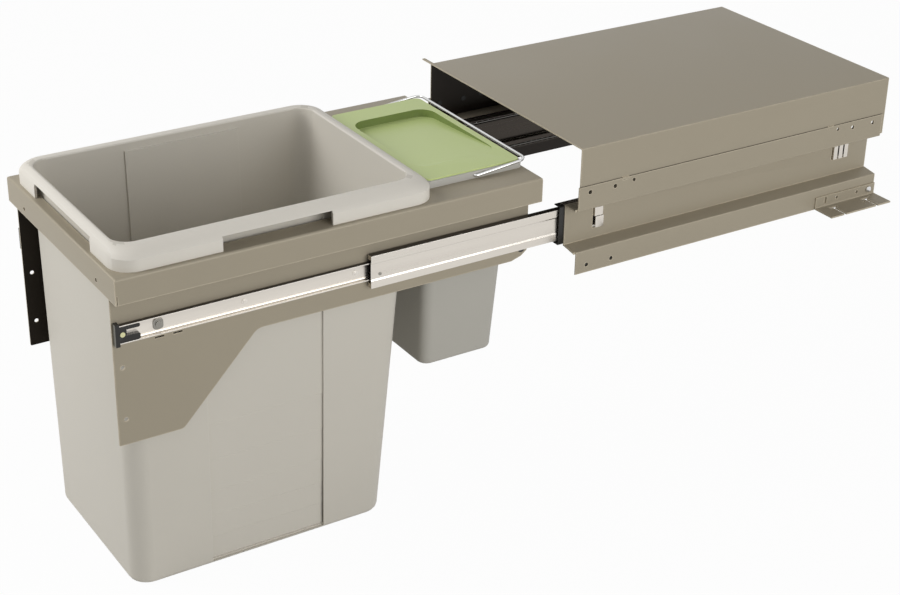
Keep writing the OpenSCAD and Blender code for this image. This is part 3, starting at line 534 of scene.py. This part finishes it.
def filled(bm, verts, across, up):
    """A face through the vertices, in their order round their middle."""
    middle = sum((vert.co for vert in verts), Vector()) / len(verts)
    verts.sort(key=lambda v: math.atan2(v.co[up] - middle[up], v.co[across] - middle[across]))
    bm.faces.new(verts)


def open_grip(bm, low, high, axis, in_skirt):
    """Opens the rim's skirt between low and high along an axis and closes the cut walls again."""
    normal = (ALONG_X, ALONG_Y)[axis]
    for at in (low, high):
        split_across(bm, [face for face in bm.faces if in_skirt(face)], normal * at, normal)
    doomed = [
        face for face in bm.faces
        if in_skirt(face) and low < face.calc_center_median()[axis] < high
    ]
    rims = {edge for face in doomed for edge in face.edges}
    bmesh.ops.delete(bm, geom=doomed, context="FACES")
    verts = {vert for edge in rims if edge.is_valid and edge.is_boundary for vert in edge.verts}
    for at in (low, high):
        filled(bm, [vert for vert in verts if abs(vert.co[axis] - at) < NEAR], 1 - axis, 2)
    level = max(vert.co.z for vert in verts)
    filled(bm, [vert for vert in verts if vert.co.z > level - NEAR], 0, 1)


def front_bin():
    """The large bin: tapered walls, a rim with a sloping shoulder, three grips, two panels."""
    top = Ring(
        FRONT_HIGH.x - RIM_SIDE, FRONT_LOW.y + RIM_FRONT, FRONT_HIGH.y - RIM_REAR,
        BIN_CORNER, FRONT_HIGH.z,
    )
    foot = Ring(
        top.half - FOOT_IN, top.front + FOOT_FRONT_IN, top.rear - FOOT_REAR_IN,
        BIN_CORNER, FRONT_LOW.z,
    )
    rim = Ring(FRONT_HIGH.x, FRONT_LOW.y, FRONT_HIGH.y, RIM_CORNER, FRONT_HIGH.z)
    grip_over_shoulder = GRIP_H - (FRONT_HIGH.z - FRAME_TOP - SHOULDER_H)
    inner_grip_turn = turn_at(grip_over_shoulder / (SHOULDER_H - RIM_WALL), RIM_WALL)
    outer_grip_turn = turn_at(grip_over_shoulder / SHOULDER_H, 0)
    rings = foot_rings(top, foot, FOOT_ROUND)
    rings.append(wall_ring(top, foot, rim.z - RIM_WALL))
    for turn in quarter_turns(ROUND_STEPS)[:0:-1] + [inner_grip_turn, 0]:
        rings.append(shoulder_ring(rim, turn, RIM_WALL))
    rings.append(shoulder_ring(rim, 0, RIM_WALL)._replace(z=FRAME_TOP))
    rings.append(rim._replace(z=FRAME_TOP))
    # The grip's turn takes the place of the first even turn
    for turn in [0, outer_grip_turn] + quarter_turns(SHOULDER_STEPS)[2:]:
        rings.append(shoulder_ring(rim, turn, 0))
    rings += mouth_rings(top, foot, rim.z, BIN_WALL, MOUTH_ROUND, BIN_FLOOR, FOOT_ROUND)
    bm = lofted(rings)
    grip_top = FRAME_TOP + GRIP_H + NEAR
    grip_mid = top.front + SIDE_GRIP_IN

    def low_skirt(face):
        """Faces of the rim's skirt that lie below the tops of the grips."""
        low = all(vert.co.z < grip_top for vert in face.verts)
        return low and face.calc_center_median().z > FRAME_TOP - NEAR

    def side_skirt(side):
        """Test for the skirt's faces near the grip of one long side."""
        def wanted(face):
            near = abs(face.calc_center_median().y - grip_mid) < SIDE_GRIP_REACH
            outer = all(vert.co.x * side > rim.half - SKIRT_ZONE for vert in face.verts)
            return low_skirt(face) and near and outer
        return wanted

    def front_skirt(face):
        """Test for the skirt's faces near the front grip."""
        near = abs(face.calc_center_median().x) < FRONT_GRIP_REACH
        outer = all(vert.co.y < rim.front + SKIRT_ZONE for vert in face.verts)
        return low_skirt(face) and near and outer

    for side in (1, -1):
        grip_ends = (grip_mid - SIDE_GRIP_L / 2, grip_mid + SIDE_GRIP_L / 2)
        open_grip(bm, *grip_ends, 1, side_skirt(side))
    open_grip(bm, -FRONT_GRIP_L / 2, FRONT_GRIP_L / 2, 0, front_skirt)
    # Painted light: the rim's faces above the frame take the lighter plastic, standing for light
    # from above
    for face in bm.faces:
        spot = face.calc_center_median()
        within = abs(spot.x) < top.half - BIN_WALL and top.front < spot.y < top.rear - BIN_WALL
        if all(vert.co.z > FRAME_TOP - NEAR for vert in face.verts) and not within:
            face.material_index = 1
    set_back_panel(bm, top, foot, 1, top.front + PANEL_IN)
    set_back_panel(bm, top, foot, -1, top.rear - PANEL_IN - PANEL_L)
    bmesh.ops.recalc_face_normals(bm, faces=bm.faces)
    finished(
        bm, "large_bin", "front_bin_body", [bin_plastic, bin_painted_light], ["front_bin"], BIN_EDGE,
        smooth=BIN_SHARP_ANGLE,
    )


def set_back_panel(bm, top, foot, side, panel_front):
    """Steps a panel of one long side inwards, and its outer face a little more at each level."""
    panel_rear = panel_front + PANEL_L

    def side_wall(face):
        """Flat faces of this side's wall, outer and inner."""
        spot = face.calc_center_median()
        flat = abs(face.normal.x) > PANEL_FACING and abs(spot.x) < top.half + PANEL_NEAR
        near = abs(spot.x) > foot.half - PANEL_ZONE_IN
        return flat and near and spot.x * side > 0 and spot.z < PANEL_ZONE_TOP

    for at in (panel_front, panel_rear):
        split_across(bm, [face for face in bm.faces if side_wall(face)], ALONG_Y * at, ALONG_Y)
    walls = [face for face in bm.faces if side_wall(face)]
    split_across(bm, walls, ALONG_Z * PANEL_TOP, ALONG_Z)
    for outward in (True, False):
        panel = [
            face for face in bm.faces
            if side_wall(face) and (face.normal.x * side > 0) == outward
            and panel_front < face.calc_center_median().y < panel_rear
            and face.calc_center_median().z < PANEL_TOP
        ]
        made = bmesh.ops.extrude_face_region(bm, geom=panel)["geom"]
        bmesh.ops.delete(bm, geom=panel, context="FACES_ONLY")
        verts = [part for part in made if isinstance(part, bmesh.types.BMVert)]
        bmesh.ops.translate(bm, verts=verts, vec=(-side * PANEL_STEP, 0, 0))

    def panel_face(face):
        """Outer faces of the wall between the panel's ends."""
        spot = face.calc_center_median()
        return side_wall(face) and face.normal.x * side > 0 and panel_front < spot.y < panel_rear

    bmesh.ops.recalc_face_normals(bm, faces=bm.faces)
    for level in LEVELS:
        for at in (level, level - LEVEL_SLOPE):
            panel = [face for face in bm.faces if panel_face(face)]
            split_across(bm, panel, ALONG_Z * at, ALONG_Z)
        panel = [face for face in bm.faces if panel_face(face)]
        below = level - LEVEL_SLOPE + NEAR
        for vert in {vert for face in panel for vert in face.verts if vert.co.z < below}:
            vert.co.x -= side * LEVEL_STEP
    # Painted light: the panel's top ledge takes the lighter plastic, standing for light from above
    for face in bm.faces:
        on_ledge = all(abs(vert.co.z - PANEL_TOP) < PANEL_NEAR for vert in face.verts)
        if on_ledge and face.calc_center_median().x * side > 0:
            face.material_index = 1


SMALL_RIM = 6 * MM
SMALL_RIM_WALL = 2.2 * MM
SMALL_CORNER = 14 * MM
SMALL_FOOT_HALF = 90 * MM
SMALL_FOOT_L = 104 * MM
SMALL_FOOT_ROUND = 5 * MM
SMALL_WALL = 2 * MM
SMALL_RIM_ROUND = 1.2 * MM
SMALL_MOUTH_ROUND = 0.8 * MM
SMALL_RIM_STEPS = 3


def rear_bin():
    """The small bin: tapered walls under a narrow rim with a skirt."""
    mid = (SMALL_LOW.y + SMALL_HIGH.y) / 2
    top = Ring(
        SMALL_HIGH.x - SMALL_RIM, SMALL_LOW.y + SMALL_RIM, SMALL_HIGH.y - SMALL_RIM,
        SMALL_CORNER, SMALL_HIGH.z,
    )
    foot = Ring(
        SMALL_FOOT_HALF, mid - SMALL_FOOT_L / 2, mid + SMALL_FOOT_L / 2, SMALL_CORNER, SMALL_LOW.z,
    )
    rim = Ring(SMALL_HIGH.x, SMALL_LOW.y, SMALL_HIGH.y, SMALL_CORNER / 2, SMALL_HIGH.z)
    skirt_in = grown(rim, -SMALL_RIM_WALL, rim.z - SMALL_RIM_WALL)
    rings = foot_rings(top, foot, SMALL_FOOT_ROUND)
    rings.append(wall_ring(top, foot, skirt_in.z))
    rings += [skirt_in, skirt_in._replace(z=FRAME_TOP), rim._replace(z=FRAME_TOP)]
    for turn in quarter_turns(SMALL_RIM_STEPS):
        inward = SMALL_RIM_ROUND * (1 - math.cos(turn))
        drop = SMALL_RIM_ROUND * (1 - math.sin(turn))
        rings.append(grown(rim, -inward, rim.z - drop, -inward / 2))
    rings += mouth_rings(
        top, foot, rim.z, SMALL_WALL, SMALL_MOUTH_ROUND, SMALL_WALL, SMALL_FOOT_ROUND,
    )
    bm = lofted(rings)
    for face in bm.faces:
        if all(vert.co.z > FRAME_TOP - NEAR for vert in face.verts):
            face.material_index = 1
    finished(
        bm, "small_bin", "rear_bin_body", [grey_plastic, rim_plastic], ["rear_bin"],
    )


# Housing and frame
FACING = 0.5
COVER_INNER_HALF = 169.8 * MM
COVER_SKIN = 0.2 * MM
UPPER_LEDGE_Z = 40 * MM
# Black discs of painted shade behind the holes in the skirts
NOSE_REAR = -20 * MM
BACK_R = 3.6 * MM
BACK_T = 0.4 * MM
BACK_ROUND = 0.1 * MM
# Place along the unit, height and distance from the middle
HOLES_WITH_PAINTED_SHADE = [
    (0, 48 * MM, 168.4 * MM), (37 * MM, 48 * MM, 168.4 * MM), (65 * MM, 50.4 * MM, 168.4 * MM),
    (0, -48 * MM, 169.9 * MM), (37 * MM, -48 * MM, 169.9 * MM),
]


def facing_in(face):
    """Faces of a side piece that look at the middle of the unit."""
    return abs(face.normal.x) > FACING and face.calc_center_median().x * face.normal.x < 0


def cover():
    """The top sheet, painted outside, with painted shade on its inner faces."""
    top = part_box("cover")[1].z

    def inside(face):
        """Faces under the top and between the skirts."""
        spot = face.calc_center_median()
        within = abs(spot.x) < COVER_INNER_HALF and spot.z < top - COVER_SKIN
        return within and (face.normal.z < -FACING or facing_in(face))

    copied("cover", "housing", sheet_paint, others=[(inner_painted_shade, inside)])


def inside_profile(face):
    """Inner faces of a side profile, and its upper ledge, which the cover keeps in the dark; they
    get painted shade.
    """
    ledge = face.normal.z > FACING and face.calc_center_median().z > UPPER_LEDGE_Z
    return facing_in(face) or ledge


def add_disc(bm, at, radius, depth, rounding, segments, steps):
    """Adds a disc with rounded edges, its axis along x."""
    made = bmesh.ops.create_cone(
        bm, cap_ends=True, segments=segments, radius1=radius, radius2=radius, depth=depth,
        matrix=Matrix.Translation(at) @ Matrix.Rotation(math.pi / 2, 4, "Y"),
    )
    verts = set(made["verts"])
    bmesh.ops.bevel(
        bm, geom=[edge for edge in bm.edges if edge.verts[0] in verts], offset=rounding,
        segments=steps, profile=0.5, affect="EDGES", material=-1,
    )


def hole_painted_shade_discs():
    """Black discs right behind the front screw and lock holes, which the photograph shows dark:
    painted shade, since only shade lies behind these holes.
    """
    bm = bmesh.new()
    for side in (-1, 1):
        for y, z, x in HOLES_WITH_PAINTED_SHADE:
            at = (side * (x - BACK_T / 2), y, z)
            add_disc(bm, at, BACK_R, BACK_T, BACK_ROUND, segments=20, steps=1)
    finished(bm, "hole_painted_shade_discs", "housing", [black_plastic])


def member_nose(face):
    """Front end of a fixed slide member, which carries a black stop."""
    return face.calc_center_median().y < NOSE_REAR


def housing():
    """Cover, side profiles, rear brackets with their screws, and the fixed slide members."""
    cover()
    for node in both("side_profile"):
        # Inner faces and upper ledge of each side profile get painted shade
        copied(node, "housing", sheet_paint, others=[(inner_painted_shade, inside_profile)])
    for node in both("rear_bracket"):
        copied(node, "housing", sheet_paint)
    for node in both("fixed_member"):
        copied(
            node, "housing", zinc_plate,
            others=[(black_plastic, member_nose), (dark_track_and_painted_shade, track)], cut_y=NOSE_REAR,
        )
    copied("bracket_screws", "housing", bright_steel)
    hole_painted_shade_discs()


# Slides
TRACK_FACING = 0.3
TOP_FACING = 0.8
FRONT_FACING = 0.9
BAND_LOW = 11 * MM
BAND_SLOPE = 1.5 * MM
BAND_SHARE = 0.9
BAND_STEP = 0.8 * MM
OUTER_SKIN = 0.1 * MM
MEMBER_SHARP_ANGLE = 25


def track(face):
    """Faces of a slide member that look at the unit's middle, where the balls run; they are drawn
    dark.
    """
    spot = face.calc_center_median()
    return spot.x * face.normal.x < -TRACK_FACING * abs(spot.x)


def upward(face):
    """Top face of a slide member, which lies in the dark under the frame and is given painted
    shade.
    """
    return face.normal.z > TOP_FACING and face.calc_center_median().z > 0


def middle_member(side):
    """The rolled channel: its outer face is set back between two bands."""
    node = side + "_middle_member"
    bm = merged(node)
    outer = max(abs(vert.co.x) for vert in bm.verts)
    for z in (-BAND_LOW, -BAND_LOW + BAND_SLOPE, BAND_LOW - BAND_SLOPE, BAND_LOW):
        split_across(bm, bm.faces, ALONG_Z * z, ALONG_Z)
    for vert in bm.verts:
        between_bands = abs(vert.co.z) < BAND_LOW - BAND_SHARE * BAND_SLOPE
        if abs(vert.co.x) > outer - OUTER_SKIN and between_bands:
            vert.co.x -= math.copysign(BAND_STEP, vert.co.x)
    for face in bm.faces:
        # Ball tracks drawn dark; top faces get painted shade
        face.material_index = 1 if track(face) or upward(face) else 0
    finished(
        bm, "shown_" + node, side + "_middle", [zinc_plate, dark_track_and_painted_shade], [node], ROLLED_EDGE,
        smooth=MEMBER_SHARP_ANGLE, segments=4,
    )


RIVET_R = 2.1 * MM
RIVET_H = 1.2 * MM
RIVET_IN = 12 * MM
RIVET_DROP = 4 * MM
RIVET_ROUND = 0.35 * MM


def stop_rivet(side):
    """Head of the small rivet near the front end of a middle member, on its set back face."""
    low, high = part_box(side + "_middle_member")
    outward = 1 if side == "right" else -1
    set_back = max(abs(low.x), abs(high.x)) - BAND_STEP
    at = (outward * set_back, low.y + RIVET_IN, -RIVET_DROP)
    bm = bmesh.new()
    add_disc(bm, at, RIVET_R, RIVET_H, RIVET_ROUND, segments=24, steps=3)
    finished(bm, side + "_stop_rivet", side + "_middle", [tab_steel])


def cap_front(face):
    """Front face of a slide's end cap, whose moulding catches the light; it gets a lighter painted
    reflection.
    """
    return face.normal.y < -FRONT_FACING


def slides():
    """The moving members of both slides, with their cages, balls and end caps."""
    for side in ("right", "left"):
        middle_member(side)
        stop_rivet(side)
        races = (side + "_outer", side + "_inner")
        for race in races:
            copied(race + "_cage", race + "_race", rolled_strip, THIN_EDGE)
        for race in races:
            copied(race + "_balls", race + "_race", bright_steel, 0)
        # The drawer member's top face gets painted shade
        copied(
            side + "_drawer_member", "drawer", zinc_plate,
            others=[(dark_track_and_painted_shade, upward)],
        )
        copied(
            side + "_end_cap", "drawer", black_plastic, MOULDED_EDGE,
            others=[(cap_front_painted_reflection, cap_front)],
        )


def pull_out_frame():
    """The frame's top and side plates, and the small pieces on the drawer members."""
    copied("frame_top", "drawer", sheet_paint)
    for node in both("side_plate"):
        # Inner faces of the side plates get painted shade
        copied(node, "drawer", sheet_paint, others=[(plate_painted_shade, facing_in)])
    copied("adjuster_discs", "drawer", disc_plastic)
    copied("rail_tabs", "drawer", tab_steel)
    copied("rail_rivets", "drawer", zinc_plate, RIVET_EDGE)
    copied("rear_buffers", "drawer", buffer_rubber, MOULDED_EDGE)


TRAY_H = 11 * MM
TRAY_HALF = 84 * MM
TRAY_STEEP = 0.6


def lid_and_bail():
    """The small bin's lid, its tray's walls a darker green as painted shade, and the wire bail."""
    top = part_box("lid")[1].z

    def tray_wall(face):
        """Steep faces of the tray that is sunk in the lid."""
        spot = face.calc_center_median()
        steep = abs(face.normal.z) < TRAY_STEEP
        return steep and spot.z > top - TRAY_H and abs(spot.x) < TRAY_HALF

    # The tray's walls get painted shade
    copied("lid", "lid_body", lid_plastic, LID_EDGE, [(lid_tray_painted_shade, tray_wall)])
    copied("bail", "bail_body", bright_steel, 0)


# Stage and light
FLOOR_HALF = 9
FLOOR_GAP = 0.5 * MM
FLOOR_COLOUR = linear(200, 200, 198)
FLOOR_WHITE = 0.97


def floor():
    """Plain pale floor, near white where the camera or a reflection sees it."""
    bm = bmesh.new()
    bmesh.ops.create_grid(bm, x_segments=1, y_segments=1, size=FLOOR_HALF)
    bmesh.ops.translate(bm, verts=bm.verts, vec=(0, 0, cad_low.z - FLOOR_GAP))
    mesh = bpy.data.meshes.new("floor")
    bm.to_mesh(mesh)
    bm.free()
    plane = bpy.data.objects.new("floor", mesh)
    bpy.context.scene.collection.objects.link(plane)
    material = bpy.data.materials.new("studio_floor")
    material.use_nodes = True
    tree = material.node_tree
    shader = tree.nodes["Principled BSDF"]
    shader.inputs["Base Color"].default_value = FLOOR_COLOUR
    shader.inputs["Roughness"].default_value = 0.9
    shader.inputs["Specular IOR Level"].default_value = 0
    seen = place(tree, "ShaderNodeLightPath")
    either = place(tree, "ShaderNodeMath", operation="MAXIMUM")
    share = place(tree, "ShaderNodeMath", operation="MULTIPLY")
    share.inputs[1].default_value = FLOOR_WHITE
    white = place(tree, "ShaderNodeEmission", {"Strength": 1})
    mix = place(tree, "ShaderNodeMixShader")
    link = tree.links.new
    link(seen.outputs["Is Camera Ray"], either.inputs[0])
    link(seen.outputs["Is Glossy Ray"], either.inputs[1])
    link(either.outputs[0], share.inputs[0])
    link(share.outputs[0], mix.inputs[0])
    link(shader.outputs[0], mix.inputs[1])
    link(white.outputs[0], mix.inputs[2])
    link(mix.outputs[0], tree.nodes["Material Output"].inputs["Surface"])
    mesh.materials.append(material)


WORLD_LEVEL = 0.29
SOFTBOX_SIZE = 1.6
# Name, place and level of each lamp
SOFTBOXES = [
    ("front_left_box", (-1, -2.3, 1.4), 0.57),
    ("right_box", (2.3, 0.3, 0.5), 0.5),
]


def world_light():
    """A soft white room, and plain white where the camera or a reflection looks past the object."""
    world = bpy.data.worlds.new("studio")
    bpy.context.scene.world = world
    world.use_nodes = True
    tree = world.node_tree
    tree.nodes.clear()
    room = place(tree, "ShaderNodeBackground", {"Color": (1, 1, 1, 1), "Strength": WORLD_LEVEL})
    white = place(tree, "ShaderNodeBackground", {"Color": (1, 1, 1, 1), "Strength": 1})
    seen = place(tree, "ShaderNodeLightPath")
    metal = place(tree, "ShaderNodeMath", operation="MAXIMUM")
    glass = place(tree, "ShaderNodeMath", operation="MAXIMUM")
    mix = place(tree, "ShaderNodeMixShader")
    result = place(tree, "ShaderNodeOutputWorld")
    link = tree.links.new
    link(seen.outputs["Is Camera Ray"], metal.inputs[0])
    link(seen.outputs["Is Glossy Ray"], metal.inputs[1])
    link(metal.outputs[0], glass.inputs[0])
    link(seen.outputs["Is Transmission Ray"], glass.inputs[1])
    link(glass.outputs[0], mix.inputs[0])
    link(room.outputs[0], mix.inputs[1])
    link(white.outputs[0], mix.inputs[2])
    link(mix.outputs[0], result.inputs["Surface"])


def softbox(name, place_at, level):
    """A square soft lamp aimed at the object; level is what it adds to a surface that faces it."""
    data = bpy.data.lights.new(name, "AREA")
    data.size = SOFTBOX_SIZE
    aim = (cad_low + cad_high) / 2
    away = Vector(place_at) - aim
    data.energy = level * math.pi ** 2 * away.length_squared
    lamp = bpy.data.objects.new(name, data)
    lamp.location = place_at
    lamp.rotation_mode = "QUATERNION"
    lamp.rotation_quaternion = away.to_track_quat("Z", "Y")
    bpy.context.scene.collection.objects.link(lamp)


housing()
slides()
pull_out_frame()
front_bin()
rear_bin()
lid_and_bail()
floor()
world_light()
for lamp_name, lamp_place, lamp_level in SOFTBOXES:
    softbox(lamp_name, lamp_place, lamp_level)
camera_place()
bpy.context.scene.view_settings.view_transform = "Standard"
